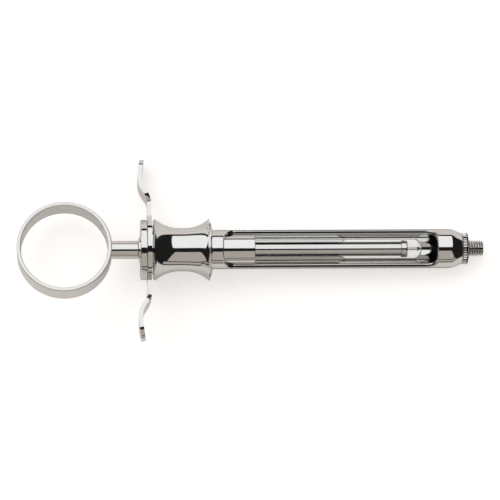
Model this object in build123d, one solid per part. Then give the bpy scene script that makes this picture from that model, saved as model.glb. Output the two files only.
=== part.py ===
from build123d import *
import os
from math import asin, cos, degrees, pi, sin, sqrt

# Dental aspirating syringe: breech loading, with a sprung guide and a harpoon plunger.
# Millimetres. X runs along the barrel towards the needle, Z points out of the cartridge window.
# The origin is on the axis, where the needle's thread leaves the knurled flange.
# The plunger is pushed forward and no cartridge is loaded.

# Fits, as clearance on the radius or between faces
running_clearance = 0.08
screwed_clearance = 0.03
spring_end_clearance = 0.05

# Needle adaptor
needle_thread_diameter = 4.8
needle_thread_length = 4.65
needle_thread_chamfer = 0.4
needle_passage_diameter = 1.6
adaptor_flange_diameter = 9.3
adaptor_flange_thickness = 1.55
adaptor_flange_chamfer = 0.25
knurl_teeth = 36
knurl_depth = 0.25
knurl_crest_share = 0.4
knurl_flank_share = 0.15
adaptor_shank_diameter = 6.0
adaptor_shank_length = 2.6

# Barrel
barrel_diameter = 11.55
barrel_bore = 9.25
barrel_tail_length = 7.3
nose_diameter = 8.9
nose_length = 3.0
nose_blend_radius = 4.0
nose_floor = 2.8
window_length = 63.0
window_setback = 7.6
window_sill_height = 1.6
window_corner_radius = 3.6
slot_length = 24.4
slot_width = 5.7
slot_setback = 11.5

# Guide bearing and its spring
guide_length = 16.6
guide_edge_chamfer = 0.3
guide_flange_diameter = 10.4
guide_flange_thickness = 1.5
pocket_clearance = 0.1
spring_wire_diameter = 0.7
spring_mean_diameter = 9.0
spring_active_turns = 5
spring_closed_turns = 1
spring_washer_thickness = 0.5
spring_washer_bore = 7.6

# Grip
grip_length = 17.2
grip_rear_rim_diameter = 18.1
grip_front_rim_diameter = 18.2
grip_waist_diameter = 12.7
grip_waist_start = 7.7
grip_waist_length = 1.6
grip_rear_lip = 0.45
grip_front_band = 0.4
grip_front_dome = 0.6
grip_front_face_diameter = 13.6
grip_socket_depth = 4.0
grip_spigot_diameter = 12.4

# Clamp washer, finger bar, end cap and rod bush
clamp_washer_diameter = 14.5
clamp_washer_thickness = 0.5
bar_thickness = 1.25
bar_plate_width = 20.2
bar_plate_height = 22.0
bar_reach = 28.3
ear_width = 8.0
ear_start = 13.5
neck_width = 5.2
neck_blend_radius = 1.0
bend_start = 13.2
bend_radius = 6.0
bend_angle = 33.0
bend_straight = 1.4
ear_curl_radius = 30.0
cap_diameter = 17.7
cap_thickness = 2.05
cap_wall = 0.75
cap_edge_radius = 0.35
bush_diameter = 7.2
bush_length = 4.2
bush_boss_height = 0.5

# Plunger
rod_diameter = 4.2
rod_setback = 10.5
rod_end_diameter = 3.4
rod_end_length = 5.8
head_diameter = 5.0
head_length = 1.8
head_edge_chamfer = 0.3
stud_diameter = 2.4
stud_length = 4.0
harpoon_diameter = 0.7
harpoon_length = 4.6
harpoon_seat_depth = 2.5
barb_diameter = 1.3
barb_length = 1.5
barb_undercut = 0.35
shank_gap = 0.1
shank_diameter = 5.3
shank_length = 7.7
shank_edge_chamfer = 0.3
ring_diameter = 27.85
ring_thickness = 1.2
ring_width = 7.0
ring_edge_radius = 0.25
ring_roll = 20.0

# Stations along X, from the needle end to the ring
barrel_front = -adaptor_flange_thickness
window_front = barrel_front - window_setback
window_rear = window_front - window_length
barrel_rear = window_rear - barrel_tail_length
slot_front = barrel_front - slot_setback
guide_front = barrel_rear + guide_length
guide_rear = barrel_rear - guide_flange_thickness
grip_front = barrel_rear + grip_socket_depth
grip_rear = grip_front - grip_length
clamp_rear = grip_rear - clamp_washer_thickness
bar_rear = clamp_rear - bar_thickness
cap_rear = bar_rear - cap_thickness
cap_inner_face = cap_rear + cap_wall
bush_rear = cap_rear - bush_boss_height
spring_seat = cap_inner_face + spring_washer_thickness
shank_front = bush_rear - shank_gap
rod_front = window_front - rod_setback
head_front = rod_front + head_length
ring_centre = shank_front - shank_length - ring_diameter / 2

# Radii that two parts share
chamber_radius = guide_flange_diameter / 2 + running_clearance
rod_bore_radius = rod_diameter / 2 + running_clearance

# The syringe lies on the rim of the finger bar's oval plate and on one ear's round end, so the bar
# is rolled until both are equally low: the positive root of a s^2 + 2 b s = c, where s is the sine
half_ear = ear_width / 2
ear_arm = bar_reach - half_ear
oval_excess = (bar_plate_height**2 - bar_plate_width**2) / 4
square_term = ear_arm**2 + oval_excess
linear_term = half_ear * ear_arm
constant_term = bar_plate_height**2 / 4 - half_ear**2
roll_sine = (sqrt(linear_term**2 + square_term * constant_term) - linear_term) / square_term
bar_roll = degrees(asin(roll_sine))


def turned(*outline):
    """Solid turned about X from a closed outline of (x, radius) points."""
    return revolve(make_face(Polyline(*outline, close=True)), Axis.X)


def drilled(x_from, x_to, diameter):
    """Round hole, or round bar, along X."""
    radius = diameter / 2
    return turned((x_from, 0), (x_from, radius), (x_to, radius), (x_to, 0))


def disc_outline(x_from, x_to, diameter, edge_radius):
    """Face of half a disc's section, with its two outer corners rounded."""
    radius = diameter / 2
    corners = [(x_from, 0), (x_from, radius), (x_to, radius), (x_to, 0)]
    section = make_face(Polyline(*corners, close=True))
    return fillet(section.vertices().group_by(Axis.Y)[-1], edge_radius)


def knurled_disc():
    """Adaptor flange with straight knurling, its two edges chamfered."""
    crest = adaptor_flange_diameter / 2
    root = crest - knurl_depth
    pitch = 2 * pi / knurl_teeth
    root_start = knurl_crest_share + knurl_flank_share
    root_end = 1 - knurl_flank_share
    corners = ((0, crest), (knurl_crest_share, crest), (root_start, root), (root_end, root))
    rim = []
    for tooth in range(knurl_teeth):
        for share, radius in corners:
            angle = (tooth + share) * pitch
            rim.append((radius * cos(angle), radius * sin(angle)))
    toothed = extrude(Plane.YZ * make_face(Polyline(*rim, close=True)), -adaptor_flange_thickness)
    inset = adaptor_flange_chamfer
    blank = turned(
        (barrel_front, 0),
        (barrel_front, crest - inset),
        (barrel_front + inset, crest),
        (-inset, crest),
        (0, crest - inset),
        (0, 0),
    )
    return toothed & blank


def needle_adaptor():
    """Knurled flange with the needle's thread in front and the barrel's thread behind."""
    radius = needle_thread_diameter / 2
    tip = turned(
        (0, 0),
        (0, radius),
        (needle_thread_length - needle_thread_chamfer, radius),
        (needle_thread_length, radius - needle_thread_chamfer),
        (needle_thread_length, 0),
    )
    shank_rear = barrel_front - adaptor_shank_length
    shank = drilled(shank_rear, barrel_front, adaptor_shank_diameter)
    body = knurled_disc() + tip + shank
    return body - drilled(shank_rear, needle_thread_length, needle_passage_diameter)


def barrel_blank():
    """Barrel tube with its coned nose, before the window and the slot are milled."""
    outer = barrel_diameter / 2
    bore = barrel_bore / 2
    hole = adaptor_shank_diameter / 2 + screwed_clearance
    cone_start = barrel_front - nose_length
    floor = barrel_front - nose_floor
    section = make_face(
        Polyline(
            (barrel_rear, bore),
            (barrel_rear, outer),
            (cone_start, outer),
            (barrel_front, nose_diameter / 2),
            (barrel_front, hole),
            (floor, hole),
            (floor, bore),
            close=True,
        )
    )
    shoulder = section.vertices().sort_by_distance((cone_start, outer))[0]
    return revolve(fillet(shoulder, nose_blend_radius), Axis.X)


def window_cutter():
    """Side-milled cartridge window: open at the top, with round lower corners at both ends."""
    sill = window_sill_height
    top = barrel_diameter
    corners = [(window_rear, sill), (window_rear, top), (window_front, top), (window_front, sill)]
    side = make_face(Polyline(*corners, close=True))
    side = fillet(side.vertices().group_by(Axis.Y)[0], window_corner_radius)
    return extrude(Plane.XZ * side, barrel_diameter, both=True)


def barrel():
    """Tube with the cartridge window in front and the ejection slot at the back."""
    slot_centre = slot_front - slot_length / 2
    slot = Pos(slot_centre, 0) * SlotOverall(slot_length, slot_width)
    return barrel_blank() - window_cutter() - extrude(slot, -barrel_diameter)


def guide_bearing():
    """Sleeve that runs in the barrel, with a rear flange and a front pocket for head and harpoon."""
    body = barrel_bore / 2 - running_clearance
    flange = guide_flange_diameter / 2
    pocket = head_diameter / 2 + pocket_clearance
    pocket_floor = guide_front - head_length - harpoon_length - pocket_clearance
    return turned(
        (guide_rear, rod_bore_radius),
        (guide_rear, flange),
        (barrel_rear, flange),
        (barrel_rear, body),
        (guide_front - guide_edge_chamfer, body),
        (guide_front, body - guide_edge_chamfer),
        (guide_front, pocket),
        (pocket_floor, pocket),
        (pocket_floor, rod_bore_radius),
    )


def coil(start, pitch, turns, first_angle):
    """Part of the spring's wire centre line, and the angle at which it ends."""
    path = Helix(pitch, pitch * turns, spring_mean_diameter / 2, direction=(1, 0, 0))
    turn_on = Rot(X=first_angle)
    return Pos(start, 0, 0) * turn_on * path, first_angle + 360 * turns


def guide_spring():
    """Compression spring with a closed turn at each end, between the washer and the guide."""
    wire = spring_wire_diameter
    rear = spring_seat + spring_end_clearance + wire / 2
    front = guide_rear - spring_end_clearance - wire / 2
    closed_pitch = wire + spring_end_clearance
    closed_length = spring_closed_turns * closed_pitch
    open_pitch = (front - rear - 2 * closed_length) / spring_active_turns
    rear_turn, angle = coil(rear, closed_pitch, spring_closed_turns, 0)
    middle, angle = coil(rear + closed_length, open_pitch, spring_active_turns, angle)
    front_turn, angle = coil(front - closed_length, closed_pitch, spring_closed_turns, angle)
    path = Wire([rear_turn, middle, front_turn])
    section = Plane(path @ 0, z_dir=path % 0) * Circle(wire / 2)
    return sweep(section, path=path, is_frenet=True)


def spring_washer():
    """Loose washer between the spring and the end cap."""
    outer = chamber_radius - running_clearance
    bore = spring_washer_bore / 2
    return turned((cap_inner_face, bore), (cap_inner_face, outer), (spring_seat, outer), (spring_seat, bore))


def grip_spool():
    """Waisted grip: barrel socket in front, spring chamber inside, screwed spigot behind."""
    spigot = grip_spigot_diameter / 2
    socket = barrel_diameter / 2 + screwed_clearance
    rear_rim = grip_rear_rim_diameter / 2
    front_rim = grip_front_rim_diameter / 2
    waist = grip_waist_diameter / 2
    spigot_rear = cap_inner_face + screwed_clearance
    waist_rear = (grip_rear + grip_waist_start, waist)
    waist_front = (grip_rear + grip_waist_start + grip_waist_length, waist)
    rim_rear = (grip_rear + grip_rear_lip, rear_rim)
    rim_front = (grip_front - grip_front_dome - grip_front_band, front_rim)
    behind = Polyline(
        (spigot_rear, chamber_radius),
        (spigot_rear, spigot),
        (grip_rear, spigot),
        (grip_rear, rear_rim - grip_rear_lip),
        rim_rear,
    )
    rear_flare = TangentArc(waist_rear, rim_rear, tangent=(-1, 0))
    front_flare = TangentArc(waist_front, rim_front, tangent=(1, 0))
    ahead = Polyline(
        rim_front,
        (grip_front - grip_front_dome, front_rim),
        (grip_front, grip_front_face_diameter / 2),
        (grip_front, socket),
        (barrel_rear, socket),
        (barrel_rear, chamber_radius),
        (spigot_rear, chamber_radius),
    )
    outline = [behind, rear_flare, Line(waist_rear, waist_front), front_flare, ahead]
    return revolve(make_face(outline), Axis.X)


def clamp_washer():
    """Thin washer between the grip's rear rim and the finger bar."""
    bore = grip_spigot_diameter / 2 + screwed_clearance
    outer = clamp_washer_diameter / 2
    return turned((clamp_rear, bore), (clamp_rear, outer), (grip_rear, outer), (grip_rear, bore))


def bar_plan():
    """Outline of the finger bar as it is cut from sheet, before it is bent: plate, necks and ears."""
    ear_length = bar_reach - ear_start
    ear_centre = ear_start + ear_length / 2
    plate = Ellipse(bar_plate_width / 2, bar_plate_height / 2)
    plan = plate + Rectangle(2 * ear_centre, neck_width)
    for side in (-1, 1):
        plan += Pos(side * ear_centre, 0) * SlotOverall(ear_length, ear_width)
    inner_corners = plan.vertices().filter_by(lambda corner: abs(abs(corner.Y) - neck_width / 2) < 1e-4)
    plan = fillet(inner_corners, neck_blend_radius)
    return plan - Circle(grip_spigot_diameter / 2 + screwed_clearance)


def bar_side():
    """Side view of one half of the bent finger bar: X across the sheet, Y along it."""
    down = Line((0, 0), (0, bend_start))
    first = JernArc(down @ 1, down % 1, bend_radius, bend_angle)
    slope = Line(first @ 1, first @ 1 + (first % 1) * bend_straight)
    second = JernArc(slope @ 1, slope % 1, bend_radius, -bend_angle)
    curl = JernArc(second @ 1, second % 1, ear_curl_radius, -degrees(bar_reach / ear_curl_radius) / 2)
    return trace(down + first + slope + second + curl, bar_thickness)


def finger_bar():
    """Pressed finger bar: round plate with an S-bent ear on each side."""
    half = extrude(bar_side(), bar_plate_height, both=True)
    bent = half + mirror(half, Plane.XZ)
    flat = extrude(Plane.YZ * bar_plan(), bar_reach, both=True)
    return Pos(bar_rear + bar_thickness / 2, 0, 0) * Rot(X=-bar_roll) * (bent & flat)


def end_cap():
    """Disc that screws on the grip's spigot and clamps the finger bar."""
    disc = revolve(disc_outline(cap_rear, bar_rear, cap_diameter, cap_edge_radius), Axis.X)
    socket = drilled(cap_inner_face, bar_rear, grip_spigot_diameter + 2 * screwed_clearance)
    hole = drilled(cap_rear, cap_inner_face, bush_diameter + 2 * screwed_clearance)
    return disc - socket - hole


def rod_bush():
    """Bush in the end cap that guides the rod and shows behind the cap as a small boss."""
    outer = bush_diameter / 2
    front = bush_rear + bush_length
    return turned((bush_rear, rod_bore_radius), (bush_rear, outer), (front, outer), (front, rod_bore_radius))


def piston_rod():
    """Plunger rod: screwed into the ring's shank behind, drilled for the harpoon holder in front."""
    rear = drilled(shank_front - rod_end_length, shank_front, rod_end_diameter)
    body = drilled(shank_front, rod_front, rod_diameter)
    hole_depth = stud_length + screwed_clearance
    return body + rear - drilled(rod_front - hole_depth, rod_front, stud_diameter + 2 * screwed_clearance)


def harpoon_holder():
    """Turned head on the rod's end, with its stud behind and the harpoon's seat in front."""
    radius = head_diameter / 2
    head = turned(
        (rod_front, 0),
        (rod_front, radius),
        (head_front - head_edge_chamfer, radius),
        (head_front, radius - head_edge_chamfer),
        (head_front, 0),
    )
    stud = drilled(rod_front - stud_length, rod_front, stud_diameter)
    seat_bottom = head_front - harpoon_seat_depth - screwed_clearance
    return head + stud - drilled(seat_bottom, head_front, harpoon_diameter + 2 * screwed_clearance)


def harpoon():
    """Barbed pin that catches the cartridge's stopper, pressed into the holder."""
    radius = harpoon_diameter / 2
    tip = head_front + harpoon_length
    barb = tip - barb_length
    return turned(
        (head_front - harpoon_seat_depth, 0),
        (head_front - harpoon_seat_depth, radius),
        (barb + barb_undercut, radius),
        (barb, barb_diameter / 2),
        (tip, 0),
    )


def ring_shank():
    """Socket between rod and ring, its rear end shaped to the ring's outside."""
    radius = shank_diameter / 2
    blank = turned(
        (ring_centre, 0),
        (ring_centre, radius),
        (shank_front - shank_edge_chamfer, radius),
        (shank_front, radius - shank_edge_chamfer),
        (shank_front, 0),
    )
    saddle = Pos(ring_centre, 0, 0) * Cylinder(ring_diameter / 2 + screwed_clearance, 2 * ring_width)
    hole_bottom = shank_front - rod_end_length - screwed_clearance
    hole = drilled(hole_bottom, shank_front, rod_end_diameter + 2 * screwed_clearance)
    return Rot(X=-ring_roll) * (blank - saddle - hole)


def thumb_ring():
    """Flat band bent to a ring, with softened edges."""
    middle_radius = (ring_diameter - ring_thickness) / 2
    band = Pos(middle_radius, 0) * RectangleRounded(ring_thickness, ring_width, ring_edge_radius)
    ring = revolve(Plane.XZ * band, Axis.Z)
    return Pos(ring_centre, 0, 0) * Rot(X=-ring_roll) * ring


pieces = {
    "needle_adaptor": needle_adaptor,
    "barrel": barrel,
    "guide_bearing": guide_bearing,
    "guide_spring": guide_spring,
    "spring_washer": spring_washer,
    "grip_spool": grip_spool,
    "clamp_washer": clamp_washer,
    "finger_bar": finger_bar,
    "end_cap": end_cap,
    "rod_bush": rod_bush,
    "piston_rod": piston_rod,
    "harpoon_holder": harpoon_holder,
    "harpoon": harpoon,
    "ring_shank": ring_shank,
    "thumb_ring": thumb_ring,
}

os.makedirs("parts", exist_ok=True)
for node, make in pieces.items():
    export_step(make(), f"parts/{node}.step")
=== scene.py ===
from math import asin, atan2, cos, hypot, pi, radians, sin, sqrt, tan

import bpy
import numpy as np
from bpy.props import FloatProperty, FloatVectorProperty, IntProperty, PointerProperty
from mathutils import Matrix, Vector


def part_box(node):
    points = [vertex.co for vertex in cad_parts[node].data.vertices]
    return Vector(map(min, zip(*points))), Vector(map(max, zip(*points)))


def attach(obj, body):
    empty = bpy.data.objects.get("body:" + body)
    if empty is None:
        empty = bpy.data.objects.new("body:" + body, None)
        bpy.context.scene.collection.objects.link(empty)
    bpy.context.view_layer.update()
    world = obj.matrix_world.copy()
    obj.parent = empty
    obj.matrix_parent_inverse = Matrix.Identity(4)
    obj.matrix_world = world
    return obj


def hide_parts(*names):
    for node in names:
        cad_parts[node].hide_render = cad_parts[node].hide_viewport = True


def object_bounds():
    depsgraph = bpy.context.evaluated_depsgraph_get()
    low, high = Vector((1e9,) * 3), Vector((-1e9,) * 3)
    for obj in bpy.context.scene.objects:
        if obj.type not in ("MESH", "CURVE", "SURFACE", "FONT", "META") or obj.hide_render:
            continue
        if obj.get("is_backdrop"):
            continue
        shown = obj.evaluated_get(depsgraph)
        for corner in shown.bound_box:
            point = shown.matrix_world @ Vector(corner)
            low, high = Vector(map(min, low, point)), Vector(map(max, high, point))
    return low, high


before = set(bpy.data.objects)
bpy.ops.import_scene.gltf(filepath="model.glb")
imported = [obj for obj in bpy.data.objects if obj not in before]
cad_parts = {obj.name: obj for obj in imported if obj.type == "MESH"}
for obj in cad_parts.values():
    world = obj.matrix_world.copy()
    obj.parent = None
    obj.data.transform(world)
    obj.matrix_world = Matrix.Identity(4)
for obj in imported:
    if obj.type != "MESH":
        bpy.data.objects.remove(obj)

bl_info = {
    "name": "Aspirating syringe",
    "version": (1, 0, 0),
    "blender": (4, 5, 0),
    "location": "View3D > Sidebar > Syringe",
    "description": "Models a dental aspirating syringe around its packed frame",
    "category": "Add Mesh",
}

# Metres, in the frame's own axes: X along the barrel to the needle, Z out of the cartridge window
MM = 0.001
ROUND_STEPS = 128
WIDE_STEPS = 160
SMALL_STEPS = 96
PIN_STEPS = 48
RING_STEPS = 200
THREAD_STEPS = 64
RINGS_PER_PITCH = 12
OPENING_STEPS = 16
MERGE = 1e-7

# The end of the slot's cutter keeps a short flat
END_ROUNDING = 0.999
# Corners 2 and 3 of each four are roots, so a root's middle is at 2.5 of 4
ROOT_PHASE = 1.25 * pi
# The thread's groove: share of its depth at the middle before the limit of 1, and its fall per pitch
GROOVE_MIDDLE = 1.6
GROOVE_FALL = 4
# The finger bar: edges along the sheet, edges round an ear's tip in degrees, sharpness of the blends
STATION_STEP = 0.22 * MM
TIP_ANGLES = range(0, 86, 6)
BLEND_POWER = 10

# Polished plate: roughness, depth of the turning rings and depth of the wiping marks
CHROME_POLISH = (0.07, 1.2e-6, 0.7e-6)
STEEL_POLISH = (0.1, 1.6e-6, 0.5e-6)
WIRE_POLISH = (0.28, 2e-6, 1e-6)
SATIN_DEPTH = 2e-6
SATIN_ROUGHNESS = (0.22, 0.36)

# Marks on the metal, in marks to the metre along X, Y and Z
SMUDGES = 160
RING_SMUDGES = 140
HANDLING = (60, 260, 260)
TURNING_RINGS = (7000, 60, 60)
WIPING_MARKS = (300, 5200, 5200)
BRUSH_MARKS = 9000
BRUSH_LENGTH = 200

# Shares of the metal's colour between smudges and in them, and in the painted shade at the root of a
# groove
SMUDGE_SHADES = (0.95, 1.03)
PAINTED_ROOT_SHADE = 0.22

# Cards: angles from overhead, then both edges' ends along the syringe, in metres
CARD_DISTANCE = 0.9
SOFT_BOX = (9, 79, (-1.8, 0.42), (-1.8, 0.3))
WARM_CARD = (-13, -66, (-0.9, 0.3), (-1.5, 0.65))
LOW_WARM_CARD = (-71, -84, (-1.4, 0.9), (-1.4, 0.9))
# Floor, surroundings and lamp, in metres
FLOOR_SIZE = 12
DOME_RADIUS = 3
LAMP_SIZE = (1.2, 0.8)
LAMP_PLACE = (-0.3, 0.7, 1.1)
WHITE = (1, 1, 1, 1)
DARK_CLOTH = (0.02, 0.02, 0.02, 1)
# Search for the pitch at which the syringe rests
STEEPEST_REST = radians(10)
PITCH_HALVINGS = 40


# Sizes and colours that a user would change


def length(name, description, millimetres):
    """Property for a length, with its default given in millimetres."""
    return FloatProperty(
        name=name,
        description=description,
        default=millimetres * MM,
        min=0,
        unit="LENGTH",
        subtype="DISTANCE",
    )


def angle_size(name, description, degrees):
    """Property for an angle, with its default given in degrees."""
    return FloatProperty(
        name=name, description=description, default=radians(degrees), subtype="ANGLE", unit="ROTATION"
    )


def place_size(name, description, millimetres):
    """Property for a place on an axis, which may be negative."""
    return FloatProperty(name=name, description=description, default=millimetres * MM, unit="LENGTH")


def number(name, description, value):
    """Property for a plain number."""
    return FloatProperty(name=name, description=description, default=value)


def count(name, description, value):
    """Property for a number of teeth."""
    return IntProperty(name=name, description=description, default=value, min=3)


def tint(name, description, colour):
    """Property for a colour."""
    return FloatVectorProperty(
        name=name, description=description, default=colour, min=0, max=1, size=3, subtype="COLOR"
    )


def group(kind, name, description):
    """Property that holds a group of other properties."""
    return PointerProperty(type=kind, name=name, description=description)


class EdgeSizes(bpy.types.PropertyGroup):
    turned: length("Turned edge", "Rounding of the edges of turned pieces", 0.12)
    pressed: length("Pressed edge", "Rounding of the finger bar's edges", 0.38)
    milled: length("Milled edge", "Rounding of the window's and slot's edges", 0.34)


class NeedleEndSizes(bpy.types.PropertyGroup):
    thread_pitch: length("Thread pitch", "Pitch of the needle's thread", 0.75)
    thread_depth: length("Thread depth", "Depth of the needle's thread", 0.42)
    thread_chamfer: length("Thread chamfer", "Chamfer at the tip of the thread", 0.4)
    passage: length("Passage", "Diameter of the needle's passage", 1.6)
    thread_diameter: length("Thread diameter", "Diameter over the crests of the needle's thread", 4.8)
    shank_diameter: length("Shank diameter", "Diameter of the shank in the barrel's nose", 6.0)
    flange_thickness: length("Flange thickness", "Thickness of the knurled flange", 1.55)
    knurl_depth: length("Knurl depth", "Depth of the straight knurl", 0.25)
    knurl_teeth: count("Knurl teeth", "Number of teeth on the flange", 36)


class BarrelSizes(bpy.types.PropertyGroup):
    bore: length("Bore", "Diameter of the cartridge bore", 9.25)
    nose_diameter: length("Nose diameter", "Diameter of the nose's front face", 8.9)
    nose_length: length("Nose length", "Length of the cone", 3.0)
    nose_blend: length("Nose blend", "Rounding between barrel and cone", 4.0)
    nose_floor: length("Nose floor", "Thickness of the nose's floor", 2.8)
    window_setback: length("Window setback", "Nose face to the window's front end", 7.6)
    window_length: length("Window length", "Length of the cartridge window", 63.0)
    window_sill: length("Window sill", "Height of the window's edge over the axis", 1.6)
    window_corner: length("Window corner", "Radius of the window's lower corners", 3.6)
    slot_setback: length("Slot setback", "Nose face to the slot's front end", 11.5)
    slot_length: length("Slot length", "Length of the ejection slot", 24.4)
    slot_width: length("Slot width", "Width of the ejection slot", 5.7)


class GripSizes(bpy.types.PropertyGroup):
    waist: length("Waist", "Diameter of the waist", 12.7)
    waist_start: length("Waist start", "Rear face to the waist", 7.7)
    waist_length: length("Waist length", "Length of the waist's cylinder", 1.6)
    rear_rim: length("Rear rim", "Diameter of the rear rim", 18.1)
    rear_lip: length("Rear lip", "Width and chamfer of the rear lip", 0.45)
    front_band: length("Front band", "Width of the serrated band", 0.4)
    front_dome: length("Front dome", "Depth of the front face's cone", 0.6)
    front_face: length("Front face", "Diameter of the flat front face", 13.6)
    spigot: length("Spigot", "Diameter of the spigot that carries the bar", 12.4)
    spring_bore: length("Spring bore", "Diameter of the spring's chamber", 10.56)
    serration: length("Serration", "Depth of the rim's serrations", 0.12)
    serrations: count("Serrations", "Number of serrations on the rim", 166)


class BarSizes(bpy.types.PropertyGroup):
    thickness: length("Thickness", "Thickness of the sheet", 1.25)
    plate_width: length("Plate width", "Width of the oval plate along the bar", 20.2)
    plate_height: length("Plate height", "Height of the oval plate across the bar", 22.0)
    reach: length("Reach", "Axis to an ear's tip, along the sheet", 28.3)
    ear_width: length("Ear width", "Width of an ear", 8.0)
    ear_start: length("Ear start", "Axis to the start of an ear", 13.5)
    neck_width: length("Neck width", "Width of the necks", 5.2)
    bend_start: length("Bend start", "Axis to the first bend", 13.2)
    bend_radius: length("Bend radius", "Radius of the S bend", 6.0)
    bend_straight: length("Bend straight", "Straight between the two bends", 1.4)
    ear_curl: length("Ear curl", "Radius of the ears' curl", 30.0)
    bend_angle: angle_size("Bend angle", "Slope of the S bend", 33)


class PlungerSizes(bpy.types.PropertyGroup):
    rod: length("Rod", "Diameter of the rod", 4.2)
    rod_end: length("Rod end", "Diameter of the rod's screwed end", 3.4)
    rod_end_length: length("Rod end length", "Length of the rod's screwed end", 5.8)
    stud: length("Stud", "Diameter of the holder's stud", 2.4)
    stud_length: length("Stud length", "Length of the holder's stud", 4.0)
    head_chamfer: length("Head chamfer", "Chamfer of the holder's front edge", 0.3)
    pin: length("Pin", "Diameter of the harpoon's pin", 0.7)
    pin_seat: length("Pin seat", "Depth of the harpoon's seat", 2.5)
    barb: length("Barb", "Diameter of the barb", 1.3)
    barb_length: length("Barb length", "Length of the barb", 1.5)
    barb_undercut: length("Barb undercut", "Undercut behind the barb", 0.35)
    shank_chamfer: length("Shank chamfer", "Chamfer of the shank's front edge", 0.3)
    shank_sink: length("Shank sink", "How deep the shank runs into the ring's band", 0.5)
    ring_thickness: length("Ring thickness", "Thickness of the ring's band", 1.2)
    ring_width: length("Ring width", "Width of the ring's band", 7.0)
    ring_edge: length("Ring edge", "Rounding of the ring's edges", 0.3)
    ring_roll: angle_size("Ring roll", "Roll of the ring about the rod", 20)


class CapSizes(bpy.types.PropertyGroup):
    wall: length("Wall", "Thickness of the cap's end wall", 0.75)
    edge: length("Edge", "Rounding of the cap's outer edges", 0.35)
    bush: length("Bush", "Diameter of the rod's bush", 7.2)
    fit: length("Fit", "Clearance of screwed pieces on the radius", 0.03)
    running_fit: length("Running fit", "Clearance of sliding pieces on the radius", 0.08)


class Finishes(bpy.types.PropertyGroup):
    chrome: tint("Chrome", "Colour of the polished chrome plate", (0.80, 0.80, 0.79))
    ring: tint("Ring", "Colour of the satined ring", (0.82, 0.82, 0.80))
    steel: tint("Steel", "Colour of the polished steel rod", (0.74, 0.74, 0.73))
    spring: tint("Spring", "Colour of the spring wire", (0.60, 0.60, 0.60))


class StageSizes(bpy.types.PropertyGroup):
    camera_distance: length("Camera distance", "Camera to the syringe's axis", 825)
    frame_width: length("Frame width", "Width that the square picture shows at the axis", 147.06)
    centre_x: place_size("Centre", "Place on the axis at the picture's centre", -64.2)
    centre_y: place_size("Side shift", "Place across the axis at the picture's centre", -0.18)
    turn: angle_size("Turn", "Turn of the syringe in the picture", 0.25)
    floor: tint("Floor", "Colour of the floor", (0.74, 0.70, 0.67))
    white_card: tint("White card", "Colour of the soft box", (1.0, 1.0, 1.0))
    warm_card: tint("Warm card", "Colour of the warm card", (0.62, 0.57, 0.52))
    white_strength: number("White strength", "Strength of the soft box", 1.03)
    warm_strength: number("Warm strength", "Strength of the warm card", 0.75)
    floor_glow: number("Floor glow", "Glow that whitens the floor for the camera", 0.46)
    lamp_power: number("Lamp power", "Power of the key light in watts", 6)
    sky: number("Sky", "Strength of the even light all round", 0.8)


# Shader graph


class Term:
    """A shader number in Python sums: each operation adds a Math node."""

    def __init__(self, graph, socket):
        self.graph = graph
        self.socket = socket

    def maths(self, operation, *values):
        return self.graph.term("ShaderNodeMath", {"operation": operation}, dict(enumerate(values)))

    def __add__(self, other):
        return self.maths("ADD", self, other)

    def __radd__(self, other):
        return self.maths("ADD", other, self)

    def __sub__(self, other):
        return self.maths("SUBTRACT", self, other)

    def __rsub__(self, other):
        return self.maths("SUBTRACT", other, self)

    def __mul__(self, other):
        return self.maths("MULTIPLY", self, other)

    def __rmul__(self, other):
        return self.maths("MULTIPLY", other, self)

    def power(self, exponent):
        return self.maths("POWER", self, exponent)


class Graph:
    """The nodes of one material or world."""

    def __init__(self, holder):
        holder.use_nodes = True
        self.tree = holder.node_tree
        self.tree.nodes.clear()

    def node(self, kind, settings=None, inputs=None):
        """Adds a node of this type, with its settings and the values or links of its sockets."""
        made = self.tree.nodes.new(kind)
        for name, value in (settings or {}).items():
            setattr(made, name, value)
        for name, value in (inputs or {}).items():
            socket = made.inputs[name]
            if isinstance(value, Term):
                value = value.socket
            if isinstance(value, bpy.types.NodeSocket):
                self.tree.links.new(value, socket)
            else:
                socket.default_value = value
        return made

    def term(self, kind, settings=None, inputs=None, output=0):
        return Term(self, self.node(kind, settings, inputs).outputs[output])

    def place(self):
        """Object coordinates."""
        return self.node("ShaderNodeTexCoord").outputs["Object"]

    def noise(self, vector, scale, detail=2.0, roughness=0.5):
        inputs = {"Vector": vector, "Scale": scale, "Detail": detail, "Roughness": roughness}
        return self.term("ShaderNodeTexNoise", {"noise_dimensions": "3D"}, inputs, "Fac")

    def stretched(self, vector, scale):
        """The vector with each part scaled by its own number."""
        inputs = {0: vector, 1: scale}
        return self.node("ShaderNodeVectorMath", {"operation": "MULTIPLY"}, inputs).outputs[0]

    def between(self, factor, low, high):
        """A number that runs from low to high as factor runs from 0 to 1."""
        return self.term("ShaderNodeMapRange", None, {"Value": factor, "To Min": low, "To Max": high})

    def blend(self, factor, first, second):
        """A colour between two colours."""
        made = self.node("ShaderNodeMix", {"data_type": "RGBA"}, {0: factor, 6: first, 7: second})
        return made.outputs[2]

    def surface(self, shader):
        self.node("ShaderNodeOutputMaterial", None, {"Surface": shader})

    def metal(self, colour, roughness, height):
        """Metal surface with this colour, roughness and height in metres."""
        relief = {"Strength": 1.0, "Distance": 1.0, "Height": height}
        bump = self.node("ShaderNodeBump", None, relief)
        look = {"Base Color": colour, "Metallic": 1.0, "Roughness": roughness, "Normal": bump.outputs[0]}
        shader = self.node("ShaderNodeBsdfPrincipled", None, look)
        self.surface(shader.outputs[0])


def opaque(colour, share=1.0):
    return (colour[0] * share, colour[1] * share, colour[2] * share, 1.0)


def fresh_material(name):
    old = bpy.data.materials.get(name)
    if old:
        bpy.data.materials.remove(old)
    return bpy.data.materials.new(name)


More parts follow.
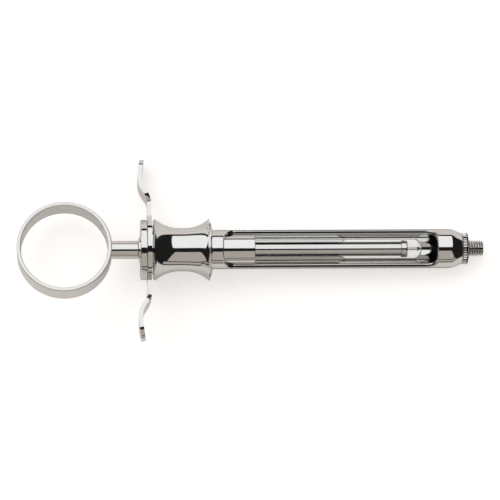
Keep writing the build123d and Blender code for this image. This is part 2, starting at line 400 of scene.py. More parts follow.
def smudged(graph, place, scale, colour):
    """Soft smudges, and the colour as they shade it."""
    smudge = graph.noise(place, scale, 3.0, 0.6)
    return smudge, graph.blend(smudge, *(opaque(colour, share) for share in SMUDGE_SHADES))


def polished_metal(name, colour, polish, painted_groove_shade=None):
    """Polished plate or steel: faint turning rings, fine wiping marks and soft smudges.
    polish is the roughness and the depths of the rings and of the wiping marks, in metres.
    The groove function, given (graph, place), gives the share of each point that is painted dark as
    shade in a groove's root."""
    roughness, marks, grain = polish
    material = fresh_material(name)
    graph = Graph(material)
    place = graph.place()
    smudge, shade = smudged(graph, place, SMUDGES, colour)
    handled = graph.noise(graph.stretched(place, HANDLING), 1.0, 2.0)
    rings = graph.noise(graph.stretched(place, TURNING_RINGS), 1.0, 3.0, 0.7)
    wiping = graph.noise(graph.stretched(place, WIPING_MARKS), 1.0, 2.0, 0.6)
    if painted_groove_shade:
        # Painted shade: in a groove's root the colour is darkened to a share of the metal's colour
        shade = graph.blend(painted_groove_shade(graph, place), shade, opaque(colour, PAINTED_ROOT_SHADE))
    gloss = graph.between(smudge * 0.6 + handled * 0.4, roughness * 0.6, roughness * 1.5)
    graph.metal(shade, gloss, rings * marks + wiping * grain)
    return material


def satin_metal(name, colour, centre):
    """Satined plate: the fine scratches run round the ring's own axis."""
    graph = Graph(fresh_material(name))
    place = graph.place()
    mapping = {"Vector": place, "Location": centre}
    moved = graph.node("ShaderNodeMapping", {"vector_type": "TEXTURE"}, mapping)
    parts = graph.node("ShaderNodeSeparateXYZ", None, {0: moved.outputs[0]})
    along, across = Term(graph, parts.outputs[0]), Term(graph, parts.outputs[1])
    radius = (along * along + across * across).power(0.5)
    height = Term(graph, parts.outputs[2])
    marks = {0: radius * BRUSH_MARKS, 1: height * BRUSH_MARKS, 2: along * BRUSH_LENGTH}
    rings = graph.node("ShaderNodeCombineXYZ", None, marks)
    brushing = graph.noise(rings.outputs[0], 1.0, 3.0, 0.65)
    smudge, shade = smudged(graph, place, RING_SMUDGES, colour)
    gloss = graph.between(brushing * 0.5 + smudge * 0.5, *SATIN_ROUGHNESS)
    graph.metal(shade, gloss, brushing * SATIN_DEPTH)


# Modelling helpers


def deselect():
    if bpy.context.object and bpy.context.object.mode != "OBJECT":
        bpy.ops.object.mode_set(mode="OBJECT")
    bpy.ops.object.select_all(action="DESELECT")


def pick(piece):
    """Makes this piece the one that is selected and active."""
    deselect()
    piece.select_set(True)
    bpy.context.view_layer.objects.active = piece


def named(name):
    piece = bpy.context.object
    piece.name = name
    piece.data.name = name
    return piece


def apply_place():
    """Applies the active piece's place, turn and size to its mesh."""
    bpy.ops.object.transform_apply(location=True, rotation=True, scale=True)


def single_point(name, point):
    """New mesh of one vertex, left in edit mode with the vertex selected."""
    deselect()
    bpy.ops.mesh.primitive_plane_add(size=MM)
    piece = named(name)
    bpy.ops.object.mode_set(mode="EDIT")
    bpy.ops.mesh.select_mode(type="VERT")
    bpy.ops.mesh.select_all(action="SELECT")
    bpy.ops.mesh.merge(type="CENTER")
    bpy.ops.transform.translate(value=point)
    return piece


def extruded_to(step):
    bpy.ops.mesh.extrude_vertices_move(TRANSFORM_OT_translate={"value": step})


def turned(name, outline, steps=ROUND_STEPS):
    """Closed piece turned about X from an outline of (x, radius) points."""
    x, radius = outline[0]
    piece = single_point(name, (x, 0, radius))
    closing = [] if outline[0][1] == 0 == outline[-1][1] else [outline[0]]
    for next_x, next_radius in list(outline[1:]) + closing:
        extruded_to((next_x - x, 0, next_radius - radius))
        x, radius = next_x, next_radius
    bpy.ops.mesh.select_all(action="SELECT")
    bpy.ops.mesh.spin(steps=steps, angle=2 * pi, center=(0, 0, 0), axis=(1, 0, 0), use_auto_merge=True)
    bpy.ops.mesh.select_all(action="SELECT")
    bpy.ops.mesh.remove_doubles(threshold=MERGE)
    bpy.ops.mesh.dissolve_degenerate(threshold=MERGE)
    bpy.ops.mesh.select_all(action="SELECT")
    bpy.ops.mesh.normals_make_consistent(inside=False)
    bpy.ops.object.mode_set(mode="OBJECT")
    return piece


def tube(name, rear, front, inner, outer, steps=ROUND_STEPS):
    """Turned tube, or a solid bar where inner is 0."""
    return turned(name, [(rear, inner), (rear, outer), (front, outer), (front, inner)], steps)


def corner_arc(before, corner, after, radius, steps=6):
    """Points of the arc that rounds a corner of an outline."""
    corner = Vector(corner)
    back = (Vector(before) - corner).normalized()
    on = (Vector(after) - corner).normalized()
    half = back.angle(on) / 2
    reach = radius / tan(half)
    centre = corner + (back + on).normalized() * (radius / sin(half))
    start = corner + back * reach - centre
    turn = back.angle_signed(on)
    sweep = (pi - 2 * half) * (1 if turn > 0 else -1)
    first = atan2(start.y, start.x)
    angles = [first + sweep * i / steps for i in range(steps + 1)]
    return [(centre.x + radius * cos(angle), centre.y + radius * sin(angle)) for angle in angles]


def flare(waist, rim, steps=14):
    """Points of the arc that leaves a waist along the axis and ends at a rim, both (x, radius)."""
    run = rim[0] - waist[0]
    rise = rim[1] - waist[1]
    radius = (run * run + rise * rise) / (2 * rise)
    full = asin(abs(run) / radius)
    side = 1 if run > 0 else -1
    angles = [full * i / steps for i in range(steps + 1)]
    return [(waist[0] + side * radius * sin(a), waist[1] + radius * (1 - cos(a))) for a in angles]


def modify(piece, kind, **values):
    """Adds a modifier with these settings and applies it."""
    pick(piece)
    modifier = piece.modifiers.new(kind.title(), kind)
    for name, value in values.items():
        setattr(modifier, name, value)
    bpy.ops.object.modifier_apply(modifier=modifier.name)


def combine(piece, tool, operation):
    """Boolean of a piece with a tool, which is then removed."""
    modify(piece, "BOOLEAN", object=tool, operation=operation, solver="EXACT")
    bpy.data.objects.remove(tool)


def soften(piece, width, segments=3, angle=radians(35), clamp=True):
    """Rounds the edges that are sharper than the angle."""
    modify(
        piece,
        "BEVEL",
        width=width,
        segments=segments,
        limit_method="ANGLE",
        angle_limit=angle,
        use_clamp_overlap=clamp,
    )


def smooth(piece, angle=radians(38)):
    pick(piece)
    bpy.ops.object.shade_smooth_by_angle(angle=angle)
    modify(piece, "WEIGHTED_NORMAL", mode="FACE_AREA", keep_sharp=True, weight=100)


def draw_in_roots(piece, corners, radius, depth):
    """Makes teeth of a many-sided rim: of each four corners two are drawn in to the root."""
    for vertex in piece.data.vertices:
        place = vertex.co
        step = round(atan2(place.z, place.y) / (2 * pi / corners)) % 4
        if step in (2, 3) and hypot(place.y, place.z) > radius - depth:
            place.y *= 1 - depth / radius
            place.z *= 1 - depth / radius


def put_in_place(piece, node, body="housing", material="chrome plate"):
    """Gives the piece its material and its body, and hides the node that it replaces."""
    piece.data.materials.clear()
    piece.data.materials.append(bpy.data.materials[material])
    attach(piece, body)
    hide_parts(node)


def block(name, low, high):
    """Cutter block between two corners."""
    deselect()
    low, high = Vector(low), Vector(high)
    bpy.ops.mesh.primitive_cube_add(size=1, location=(low + high) / 2, scale=high - low)
    piece = named(name)
    apply_place()
    return piece


def select_edges(piece, wanted):
    """Selects the edges for which wanted(first corner, second corner) is true, in edit mode."""
    bpy.ops.object.mode_set(mode="OBJECT")
    for face in piece.data.polygons:
        face.select = False
    for vertex in piece.data.vertices:
        vertex.select = False
    for edge in piece.data.edges:
        first, second = (piece.data.vertices[i].co for i in edge.vertices)
        edge.select = wanted(first, second)
    bpy.ops.object.mode_set(mode="EDIT")
    bpy.ops.mesh.select_mode(type="EDGE")


def cut_opening(piece, cutter, wanted, radius):
    """Cuts an opening with a block, after rounding the block's edges for which wanted(a, b) is true."""
    select_edges(cutter, wanted)
    bpy.ops.mesh.bevel(offset=radius, segments=OPENING_STEPS, affect="EDGES")
    bpy.ops.object.mode_set(mode="OBJECT")
    combine(piece, cutter, "DIFFERENCE")


def span(node):
    """Rear end, front end and largest radius of a node that is turned about X."""
    low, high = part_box(node)
    return low[0], high[0], (high[1] - low[1]) / 2


class PieceOperator:
    bl_options = {"REGISTER", "UNDO"}

    def execute(self, context):
        self.make(context.scene.syringe)
        return {"FINISHED"}


class SYRINGE_OT_finishes(PieceOperator, bpy.types.Operator):
    """Makes the metal finishes that the pieces share."""

    bl_idname = "syringe.finishes"
    bl_label = "Metal finishes"

    def make(self, sizes):
        look = sizes.finishes
        polished_metal("chrome plate", look.chrome, CHROME_POLISH)
        polished_metal("rod steel", look.steel, STEEL_POLISH)
        wire = polished_metal("spring wire", look.spring, WIRE_POLISH)
        low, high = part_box("thumb_ring")
        satin_metal("satined plate", look.ring, ((low[0] + high[0]) / 2, 0, 0))
        for node in ("guide_spring", "spring_washer"):
            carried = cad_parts[node]
            carried.data.materials.clear()
            carried.data.materials.append(wire)


class SYRINGE_OT_needle_end(PieceOperator, bpy.types.Operator):
    """Models the needle adaptor: threaded tip, knurled flange and shank."""

    bl_idname = "syringe.needle_end"
    bl_label = "Needle adaptor"

    def thread(self, sizes, start, tip):
        """The threaded tip: a turned bar whose rings are drawn in where the thread's groove passes."""
        crest = sizes.thread_diameter / 2
        steps = int((tip - start) / sizes.thread_pitch * RINGS_PER_PITCH)
        rings = [(start + (tip - start) * i / steps, crest) for i in range(steps + 1)]
        piece = turned("needle_thread", [(start, 0)] + rings + [(tip, 0)], THREAD_STEPS)
        for vertex in piece.data.vertices:
            place = vertex.co
            radius = hypot(place.y, place.z)
            if radius < crest / 2:
                continue
            phase = (place.x / sizes.thread_pitch - atan2(place.z, place.y) / (2 * pi)) % 1
            groove = min(1, max(0, GROOVE_MIDDLE - GROOVE_FALL * abs(phase - 0.5)))
            chamfered = crest - sizes.thread_chamfer + tip - place.x
            wanted = min(crest - groove * sizes.thread_depth, chamfered)
            place.y *= wanted / radius
            place.z *= wanted / radius
        return piece

    def flange(self, sizes, rear, radius):
        """Knurled flange: a many-sided disc whose root corners are drawn in."""
        corners = 4 * sizes.knurl_teeth
        deselect()
        bpy.ops.mesh.primitive_cylinder_add(
            vertices=corners,
            radius=radius,
            depth=-rear,
            location=(rear / 2, 0, 0),
            rotation=(0, pi / 2, 0),
        )
        piece = named("adaptor_body")
        apply_place()
        draw_in_roots(piece, corners, radius, sizes.knurl_depth)
        return piece

    def painted_groove_shade(self, own):
        """Function for the painted shade in the roots of the knurl, behind the flange's face, and of the
        thread.
        """
        teeth, pitch = own.knurl_teeth, own.thread_pitch

        # Share of painted shade at each point, highest at the middle of a root
        def share(graph, place):
            parts = graph.node("ShaderNodeSeparateXYZ", None, {0: place})
            x, y, z = (Term(graph, parts.outputs[i]) for i in range(3))
            angle = z.maths("ARCTAN2", z, y)
            tooth = angle * teeth - ROOT_PHASE
            knurl = tooth.maths("COSINE", tooth)
            turn = x * (2 * pi / pitch) - angle - pi
            thread = turn.maths("COSINE", turn)
            ahead = x.maths("GREATER_THAN", x, 0)
            return graph.between(thread * ahead + knurl * (1 - ahead), 0.0, 1.0)

        return share

    def make(self, sizes):
        edges = sizes.edges
        fit = sizes.cap.fit
        own = sizes.needle_end
        shank_rear, tip, radius = span("needle_adaptor")
        flange_rear = -own.flange_thickness
        piece = self.flange(own, flange_rear, radius)
        soften(piece, 0.9 * edges.turned, 2, radians(60))
        shank = own.shank_diameter / 2
        middle = flange_rear / 2
        combine(piece, tube("shank", shank_rear, middle, 0, shank), "UNION")
        combine(piece, self.thread(own, middle, tip), "UNION")
        passage = own.passage / 2
        bore = tube("passage", shank_rear - fit, tip + fit, 0, passage, PIN_STEPS)
        combine(piece, bore, "DIFFERENCE")
        smooth(piece, radians(30))
        look = sizes.finishes.chrome
        # Chrome whose colour carries painted shade in the roots of the knurl and of the thread
        polished_metal("knurled chrome", look, CHROME_POLISH, self.painted_groove_shade(own))
        put_in_place(piece, "needle_adaptor", material="knurled chrome")


class SYRINGE_OT_barrel(PieceOperator, bpy.types.Operator):
    """Models the barrel: tube and nose, with the cartridge window and the ejection slot cut in it."""

    bl_idname = "syringe.barrel"
    bl_label = "Barrel"

    def make(self, sizes):
        own = sizes.barrel
        rear, front, outer = span("barrel")
        bore = own.bore / 2
        hole = sizes.needle_end.shank_diameter / 2 + sizes.cap.fit
        floor = front - own.nose_floor
        shoulder = (front - own.nose_length, outer)
        nose = (front, own.nose_diameter / 2)
        blend = corner_arc((rear, outer), shoulder, nose, own.nose_blend, 16)
        outline = [(rear, bore), (rear, outer)] + blend
        outline += [nose, (front, hole), (floor, hole), (floor, bore)]
        piece = turned("barrel_tube", outline, WIDE_STEPS)
        window_front = front - own.window_setback
        window = block(
            "window cutter",
            (window_front - own.window_length, -2 * outer, own.window_sill),
            (window_front, 2 * outer, 3 * outer),
        )
        cut_opening(
            piece, window, lambda a, b: a.x == b.x and a.z == b.z and a.z < outer, own.window_corner
        )
        slot_front = front - own.slot_setback
        half = own.slot_width / 2
        slot_rear = slot_front - own.slot_length
        slot = block("slot cutter", (slot_rear, -half, -2 * outer), (slot_front, half, 0))
        cut_opening(piece, slot, lambda a, b: a.x == b.x and a.y == b.y, half * END_ROUNDING)
        soften(piece, sizes.edges.milled, 4, radians(40), clamp=False)
        smooth(piece)
        put_in_place(piece, "barrel")


class SYRINGE_OT_guide(PieceOperator, bpy.types.Operator):
    """Models the sprung guide that backs the cartridge and carries the rod."""

    bl_idname = "syringe.guide"
    bl_label = "Guide bearing"

    def make(self, sizes):
        own = sizes.plunger
        rear, front, flange = span("guide_bearing")
        running = sizes.cap.running_fit
        body = sizes.barrel.bore / 2 - running
        rod = own.rod / 2 + running
        barrel_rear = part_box("barrel")[0][0]
        head = span("harpoon_holder")
        pin_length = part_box("harpoon")[1][0] - head[1]
        head_length = head[1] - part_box("piston_rod")[1][0]
        pocket = head[2] + running
        pocket_floor = front - head_length - pin_length
        outline = [
            (rear, rod), (rear, flange), (barrel_rear, flange), (barrel_rear, body),
            (front, body), (front, pocket), (pocket_floor, pocket), (pocket_floor, rod),
        ]
        piece = turned("guide_sleeve", outline)
        soften(piece, 2 * sizes.edges.turned)
        smooth(piece)
        put_in_place(piece, "guide_bearing", "guide")


class SYRINGE_OT_grip(PieceOperator, bpy.types.Operator):
    """Models the waisted grip with its serrated front rim."""

    bl_idname = "syringe.grip"
    bl_label = "Waisted grip"

    def serrated_band(self, own, x_from, x_to, rim):
        """Ring of fine teeth: the root corners of a many-sided band are drawn in."""
        corners = 4 * own.serrations
        piece = tube("serrated band", x_from, x_to, rim - 6 * own.serration, rim, corners)
        draw_in_roots(piece, corners, rim, own.serration)
        return piece

    def make(self, sizes):
        own = sizes.grip
        rear_end, front, rim = span("grip_spool")
        barrel_rear, _, barrel_radius = span("barrel")
        socket = barrel_radius + sizes.cap.fit
        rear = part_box("clamp_washer")[1][0]
        rear_rim = own.rear_rim / 2
        chamber = own.spring_bore / 2
        spigot = own.spigot / 2
        waist = own.waist / 2
        waist_rear = (rear + own.waist_start, waist)
        waist_front = (rear + own.waist_start + own.waist_length, waist)
        rim_rear = (rear + own.rear_lip, rear_rim)
        band_rear = front - own.front_dome - own.front_band
        band_front = front - own.front_dome
        root = rim - own.serration
        outline = [(rear_end, chamber), (rear_end, spigot), (rear, spigot)]
        outline += [(rear, rear_rim - own.rear_lip)]
        outline += flare(waist_rear, rim_rear)[::-1]
        outline += flare(waist_front, (band_rear, rim - own.serration / 2))
        outline += [(band_rear, root), (band_front, root), (front, own.front_face / 2)]
        outline += [(front, socket), (barrel_rear, socket), (barrel_rear, chamber)]
        piece = turned("grip_body", outline, WIDE_STEPS)
        soften(piece, 0.6 * sizes.edges.turned, 2)
        smooth(piece)
        band = self.serrated_band(own, band_rear, band_front, rim)
        smooth(band, radians(20))
        pick(piece)
        band.select_set(True)
        bpy.ops.object.join()
        put_in_place(piece, "grip_spool")


class SYRINGE_OT_finger_bar(PieceOperator, bpy.types.Operator):
    """Models the finger bar: a strip of sheet, widened to plate and ears and bent at both sides."""

    bl_idname = "syringe.finger_bar"
    bl_label = "Finger bar and clamp washer"

    def half_width(self, own, along):
        """Half width of the bar at a distance from the axis, its parts blended into each other."""
        plate_x = own.plate_width / 2
        plate = own.plate_height / 2 * sqrt(max(0, 1 - (along / plate_x) ** 2))
        radius = own.ear_width / 2
        first = own.ear_start + radius
        last = own.reach - radius
        off = max(first - along, along - last, 0)
        ear = sqrt(max(0, radius * radius - off * off))
        neck = own.neck_width / 2 if along < last else 0
        parts = [part / MM for part in (plate, ear, neck)]
        return sum(part**BLEND_POWER for part in parts) ** (1 / BLEND_POWER) * MM

    def bent(self, own, along):
        """Place of a point of the sheet's middle, (x, y), after bending."""
        first = own.bend_radius * own.bend_angle
        runs = (
            (own.bend_start, 0.0),
            (first, 1 / own.bend_radius),
            (own.bend_straight, 0.0),
            (first, -1 / own.bend_radius),
            (own.reach, -1 / own.ear_curl),
        )
        x, y, heading, left = 0.0, 0.0, 0.0, along
        for run, curve in runs:
            step = min(left, run)
            if curve:
                turn = step * curve
                x -= (cos(heading) - cos(heading + turn)) / curve
                y += (sin(heading + turn) - sin(heading)) / curve
                heading += turn
            else:
                x -= step * sin(heading)
                y += step * cos(heading)
            left -= step
            if left <= 0:
                break
        return x, y

    def stations(self, own):
        """Distances along the sheet at which the strip has an edge, from the axis outwards."""
        radius = own.ear_width / 2
        straight = own.reach - radius
        steps = int(straight / STATION_STEP)
        body = [straight * i / steps for i in range(steps)]
        tip = [straight + radius * sin(radians(a)) for a in TIP_ANGLES]
        return body + tip

    def make(self, sizes):
        own = sizes.bar
        low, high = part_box("clamp_washer")
        middle = low[0] - own.thickness / 2
        outward = self.stations(own)
        places = []
        for side, distances in ((-1, outward[::-1]), (1, outward[1:])):
            for along in distances:
                x, y = self.bent(own, along)
                places.append((middle + x, side * y, self.half_width(own, along)))
        x, y, half = places[0]
        piece = single_point("bar_strip", (x, y, -half))
        extruded_to((0, 0, 2 * half))
        bpy.ops.mesh.select_all(action="SELECT")
        bpy.ops.mesh.select_mode(type="EDGE")
        for next_x, next_y, next_half in places[1:]:
            bpy.ops.mesh.extrude_region_move(
                TRANSFORM_OT_translate={"value": (next_x - x, next_y - y, 0)}
            )
            ratio = next_half / half
            bpy.ops.transform.resize(value=(1, 1, ratio), center_override=(next_x, next_y, 0))
            x, y, half = next_x, next_y, next_half
        bpy.ops.mesh.select_all(action="SELECT")
        bpy.ops.mesh.normals_make_consistent(inside=False)
        bpy.ops.object.mode_set(mode="OBJECT")
        modify(piece, "SOLIDIFY", thickness=own.thickness, offset=0, use_even_offset=True)
        hole = sizes.grip.spigot / 2 + sizes.cap.fit
        reach = 2 * own.thickness
        bore = tube("bar hole", middle - reach, middle + reach, 0, hole, SMALL_STEPS)
        combine(piece, bore, "DIFFERENCE")
        soften(piece, sizes.edges.pressed, 4, radians(60))
        piece.rotation_euler = (-self.roll(own), 0, 0)
        bpy.ops.object.transform_apply(rotation=True)
        smooth(piece)
        put_in_place(piece, "finger_bar")
        self.washer(sizes)

    def roll(self, own):
        """Roll at which the plate's rim and one ear are equally low."""
        half_ear = own.ear_width / 2
        arm = own.reach - half_ear
        excess = (own.plate_height**2 - own.plate_width**2) / 4
        square = arm * arm + excess
        linear = half_ear * arm
        constant = own.plate_height**2 / 4 - half_ear**2
        return asin((sqrt(linear * linear + square * constant) - linear) / square)

    def washer(self, sizes):
        rear, front, outer = span("clamp_washer")
        bore = sizes.grip.spigot / 2 + sizes.cap.fit
        piece = tube("washer_disc", rear, front, bore, outer, SMALL_STEPS)
        soften(piece, sizes.edges.turned)
        smooth(piece)
        put_in_place(piece, "clamp_washer")


class SYRINGE_OT_end_cap(PieceOperator, bpy.types.Operator):
    """Models the end cap that clamps the bar, and the rod's bush in it."""

    bl_idname = "syringe.end_cap"
    bl_label = "End cap and bush"

    def make(self, sizes):
        own = sizes.cap
        rear, front, outer = span("end_cap")
        socket = sizes.grip.spigot / 2 + own.fit
        hole = own.bush / 2 + own.fit
        inner = rear + own.wall
        behind = corner_arc((rear, 0), (rear, outer), (front, outer), own.edge)
        ahead = corner_arc((rear, outer), (front, outer), (front, 0), own.edge)
        outline = [(rear, hole)] + behind + ahead + [(front, socket), (inner, socket), (inner, hole)]
        piece = turned("cap_disc", outline)
        soften(piece, 0.5 * sizes.edges.turned, 2, radians(50))
        smooth(piece)
        put_in_place(piece, "end_cap")
        rear, front, outer = span("rod_bush")
        bore = sizes.plunger.rod / 2 + own.running_fit
        bush = tube("bush_sleeve", rear, front, bore, outer, SMALL_STEPS)
        soften(bush, sizes.edges.turned)
        smooth(bush)
        put_in_place(bush, "rod_bush")


class SYRINGE_OT_plunger(PieceOperator, bpy.types.Operator):
    """Models the rod, the harpoon and its holder, and the shank."""

    bl_idname = "syringe.plunger"
    bl_label = "Rod, harpoon and shank"

    def make(self, sizes):
        own = sizes.plunger
        fit = sizes.cap.fit
        edge = sizes.edges.turned
        rod_rear, rod_front, rod = span("piston_rod")
        shoulder = rod_rear + own.rod_end_length
        end = own.rod_end / 2
        stud_hole = own.stud / 2 + fit
        stud_bottom = rod_front - own.stud_length - fit
        piece = turned(
            "rod_body",
            [(rod_rear, 0), (rod_rear, end), (shoulder, end), (shoulder, rod), (rod_front, rod),
             (rod_front, stud_hole), (stud_bottom, stud_hole), (stud_bottom, 0)],
            SMALL_STEPS,
        )
        soften(piece, edge, 2)
        smooth(piece)
        put_in_place(piece, "piston_rod", "plunger", "rod steel")

        stud_rear, head_front, head = span("harpoon_holder")
        stud = own.stud / 2
        seat = own.pin / 2 + fit
        seat_bottom = head_front - own.pin_seat - fit
        holder = turned(
            "holder_body",
            [(stud_rear, 0), (stud_rear, stud), (rod_front, stud), (rod_front, head), (head_front, head),
             (head_front, seat), (seat_bottom, seat), (seat_bottom, 0)],
            SMALL_STEPS,
        )
        soften(holder, own.head_chamfer * 0.7, 3)
        smooth(holder)
        put_in_place(holder, "harpoon_holder", "plunger", "rod steel")

        pin_rear, tip, _ = span("harpoon")
        pin = own.pin / 2
        barb = tip - own.barb_length
        undercut = barb + own.barb_undercut
        harpoon = turned(
            "harpoon_pin",
            [(pin_rear, 0), (pin_rear, pin), (undercut, pin), (barb, own.barb / 2), (tip, 0)],
            PIN_STEPS,
        )
        smooth(harpoon)
        put_in_place(harpoon, "harpoon", "plunger", "rod steel")

        shank_front, shank = span("ring_shank")[1:]
        ring_low, ring_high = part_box("thumb_ring")
        shank_rear = ring_high[0] - own.shank_sink
        hole = own.rod_end / 2 + fit
        hole_bottom = rod_rear - fit
        socket = turned(
            "shank_socket",
            [(shank_rear, 0), (shank_rear, shank), (shank_front, shank), (shank_front, hole),
             (hole_bottom, hole), (hole_bottom, 0)],
            SMALL_STEPS,
        )
        soften(socket, own.shank_chamfer * 0.8, 3)
        smooth(socket)
        put_in_place(socket, "ring_shank", "plunger")


class SYRINGE_OT_thumb_ring(PieceOperator, bpy.types.Operator):
    """Models the thumb ring: a flat band turned about its own axis and rolled about the rod."""

    bl_idname = "syringe.thumb_ring"
    bl_label = "Thumb ring"

    def make(self, sizes):
        own = sizes.plunger
        low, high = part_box("thumb_ring")
        centre = (low[0] + high[0]) / 2
        outer = (high[0] - low[0]) / 2
        inner = outer - own.ring_thickness
        half = own.ring_width / 2
        piece = tube("ring_band", -half, half, inner, outer, RING_STEPS)
        soften(piece, own.ring_edge, 5)
        pick(piece)
        piece.matrix_world = (
            Matrix.Translation((centre, 0, 0))
            @ Matrix.Rotation(-own.ring_roll, 4, "X")
            @ Matrix.Rotation(-pi / 2, 4, "Y")
        )
        apply_place()
        smooth(piece)
        put_in_place(piece, "thumb_ring", "plunger", "satined plate")


class SYRINGE_OT_stage(PieceOperator, bpy.types.Operator):
    """Sets the floor under the resting syringe, the cards and lamps round it, and the camera."""

    bl_idname = "syringe.stage"
    bl_label = "Floor, light and camera"

    def resting_pitch(self):
        """Pitch and level of the floor that the bar and the barrel's nose touch."""

        def points(node):
            found = [tuple(vertex.co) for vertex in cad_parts[node].data.vertices]
            return np.array(found)[:, [0, 2]]

        bar, barrel = points("finger_bar"), points("barrel")
        flat, steep = 0.0, STEEPEST_REST
        for _ in range(PITCH_HALVINGS):
            pitch = (flat + steep) / 2
            normal = np.array((-sin(pitch), cos(pitch)))
            if (bar @ normal).min() < (barrel @ normal).min():
                flat = pitch
            else:
                steep = pitch
        return pitch, float((bar @ normal).min())

    def card(self, name, corners, colour, strength):
        """Glowing card between four corners. The camera looks through it."""
        deselect()
        bpy.ops.mesh.primitive_plane_add(size=1)
        card = named(name)
        for vertex, corner in zip(card.data.vertices, corners):
            vertex.co = corner
        material = fresh_material(name)
        graph = Graph(material)
        glow = graph.node("ShaderNodeEmission", None, {"Color": opaque(colour), "Strength": strength})
        graph.surface(glow.outputs[0])
        card.data.materials.append(material)
        card.visible_camera = False
        card.visible_shadow = False
        card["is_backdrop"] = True

    def make(self, sizes):
        own = sizes.stage
        pitch, level = self.resting_pitch()
        up = Vector((-sin(pitch), 0, cos(pitch)))
        along = Vector((cos(pitch), 0, sin(pitch)))
        side = Vector((0, 1, 0))
        centre = Vector((own.centre_x, 0, 0))

        def at(x, y, z):
            """Place given along the floor, across it and over the syringe's axis."""
            return centre + along * x + side * y + up * z

        foot = up * level + along * centre.dot(along)
        self.floor(own, foot, pitch)
        self.dome(at)
        self.cards(own, at)
        self.lamps(own, at)
        self.world(own)
        self.camera(own, centre, up, along, side)

    def floor(self, own, foot, pitch):
        deselect()
        bpy.ops.mesh.primitive_grid_add(x_subdivisions=8, y_subdivisions=8, size=FLOOR_SIZE)
        floor = named("stage_floor")
        floor.rotation_euler = (0, -pitch, 0)
        floor.location = foot
        apply_place()
        material = fresh_material("pale floor")
        graph = Graph(material)
        path = graph.node("ShaderNodeLightPath")
        straight = Term(graph, path.outputs["Is Camera Ray"])
        seen = straight + Term(graph, path.outputs["Is Transmission Ray"])
        matt = graph.node("ShaderNodeBsdfDiffuse", None, {"Color": opaque(own.floor)})
        light = {"Color": WHITE, "Strength": seen * own.floor_glow}
        glow = graph.node("ShaderNodeEmission", None, light)
        both = graph.node("ShaderNodeAddShader", None, {0: matt.outputs[0], 1: glow.outputs[0]})
        graph.surface(both.outputs[0])
        floor.data.materials.append(material)
        floor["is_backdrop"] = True

    def dome(self, at):
        """Dark surroundings over the floor, which only the metal's reflections show."""
        deselect()
        bpy.ops.mesh.primitive_uv_sphere_add(
            segments=48, ring_count=24, radius=DOME_RADIUS, location=at(0, 0, 0)
        )
        dome = named("dark_surroundings")
        bpy.ops.object.transform_apply(location=True)
        material = fresh_material("dark cloth")
        graph = Graph(material)
        matt = graph.node("ShaderNodeBsdfDiffuse", None, {"Color": DARK_CLOTH})
        graph.surface(matt.outputs[0])
        dome.data.materials.append(material)
        dome.visible_camera = False
        dome.visible_diffuse = False
        dome.visible_shadow = False
        dome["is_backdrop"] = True

    def cards(self, own, at):
        """White soft box over one side of the window, two warm cards over the other side."""

        def direction(angle):
            """Shift across and up to a card's edge at this angle from overhead."""
            return CARD_DISTANCE * sin(radians(angle)), CARD_DISTANCE * cos(radians(angle))

        def fan(name, card, colour, strength):
            """Card between two angles, with the ends of its two edges along the syringe."""
            near, far, near_ends, far_ends = card
            corners = [at(x, *direction(near)) for x in near_ends]
            corners += [at(x, *direction(far)) for x in far_ends]
            self.card(name, corners, colour, strength)

        fan("white_soft_box", SOFT_BOX, own.white_card, own.white_strength)
        fan("warm_card", WARM_CARD, own.warm_card, own.warm_strength)
        fan("low_warm_card", LOW_WARM_CARD, own.warm_card, own.warm_strength)

    def lamps(self, own, at):
        lamp = bpy.data.lights.new("key light", "AREA")
        lamp.shape = "RECTANGLE"
        lamp.size, lamp.size_y = LAMP_SIZE
        lamp.energy = own.lamp_power
        holder = bpy.data.objects.new("key light", lamp)
        bpy.context.collection.objects.link(holder)
        holder.location = at(*LAMP_PLACE)
        aim = at(0, 0, 0) - holder.location
        holder.rotation_euler = aim.to_track_quat("-Z", "Y").to_euler()
        holder.visible_glossy = False

    def world(self, own):
        world = bpy.data.worlds.new("pale studio")
        bpy.context.scene.world = world
        graph = Graph(world)
        light = {"Color": WHITE, "Strength": own.sky}
        glow = graph.node("ShaderNodeBackground", None, light)
        graph.node("ShaderNodeOutputWorld", None, {"Surface": glow.outputs[0]})

    def camera(self, own, centre, up, along, side):
        data = bpy.data.cameras.new("camera")
        data.lens = data.sensor_width * own.camera_distance / own.frame_width
        camera = bpy.data.objects.new("camera", data)
        bpy.context.collection.objects.link(camera)
        target = centre + side * own.centre_y
        right = along * cos(own.turn) - side * sin(own.turn)
        top = side * cos(own.turn) + along * sin(own.turn)
        turn = Matrix((right, top, up)).transposed()
        camera.matrix_world = Matrix.Translation(target + up * own.camera_distance) @ turn.to_4x4()
        bpy.context.scene.camera = camera
        bpy.context.scene.view_settings.view_transform = "Standard"


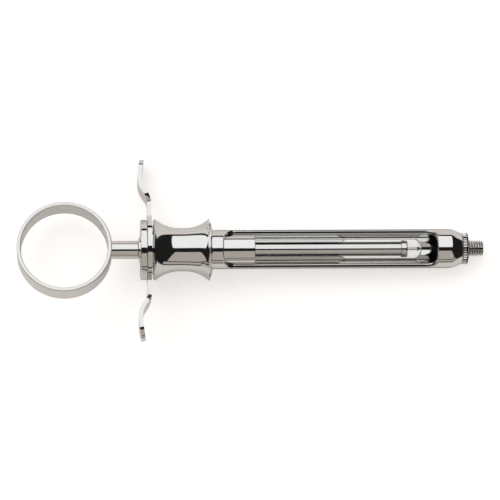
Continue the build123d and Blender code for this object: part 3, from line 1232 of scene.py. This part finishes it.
class SyringeSettings(bpy.types.PropertyGroup):
    edges: group(EdgeSizes, "Edges", "Roundings of the edges")
    needle_end: group(NeedleEndSizes, "Needle end", "Sizes of the needle adaptor")
    barrel: group(BarrelSizes, "Barrel", "Sizes of the barrel")
    grip: group(GripSizes, "Grip", "Sizes of the grip")
    bar: group(BarSizes, "Finger bar", "Sizes of the finger bar")
    plunger: group(PlungerSizes, "Plunger", "Sizes of the plunger")
    cap: group(CapSizes, "Cap", "Sizes of the end cap and the fits")
    finishes: group(Finishes, "Finishes", "Colours of the metals")
    stage: group(StageSizes, "Stage", "Camera, floor and light")


class SYRINGE_PT_sidebar(bpy.types.Panel):
    """Lists the syringe's pieces and the stage."""

    bl_idname = "SYRINGE_PT_sidebar"
    bl_label = "Aspirating syringe"
    bl_space_type = "VIEW_3D"
    bl_region_type = "UI"
    bl_category = "Syringe"

    def draw(self, context):
        for operator in OPERATORS:
            self.layout.operator(operator.bl_idname)


OPERATORS = (
    SYRINGE_OT_finishes,
    SYRINGE_OT_needle_end,
    SYRINGE_OT_barrel,
    SYRINGE_OT_guide,
    SYRINGE_OT_grip,
    SYRINGE_OT_finger_bar,
    SYRINGE_OT_end_cap,
    SYRINGE_OT_plunger,
    SYRINGE_OT_thumb_ring,
    SYRINGE_OT_stage,
)
GROUPS = (
    EdgeSizes, NeedleEndSizes, BarrelSizes, GripSizes, BarSizes, PlungerSizes, CapSizes, Finishes,
    StageSizes, SyringeSettings,
)


def register():
    for item in GROUPS + OPERATORS + (SYRINGE_PT_sidebar,):
        bpy.utils.register_class(item)
    bpy.types.Scene.syringe = PointerProperty(type=SyringeSettings)


def unregister():
    del bpy.types.Scene.syringe
    for item in reversed(GROUPS + OPERATORS + (SYRINGE_PT_sidebar,)):
        bpy.utils.unregister_class(item)


def corners():
    low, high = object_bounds()
    return [list(low), list(high)]


def main():
    register()
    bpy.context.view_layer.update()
    for operator in OPERATORS:
        category, name = operator.bl_idname.split(".")
        getattr(getattr(bpy.ops, category), name)()
    bpy.context.view_layer.update()


if __name__ == "__main__":
    main()
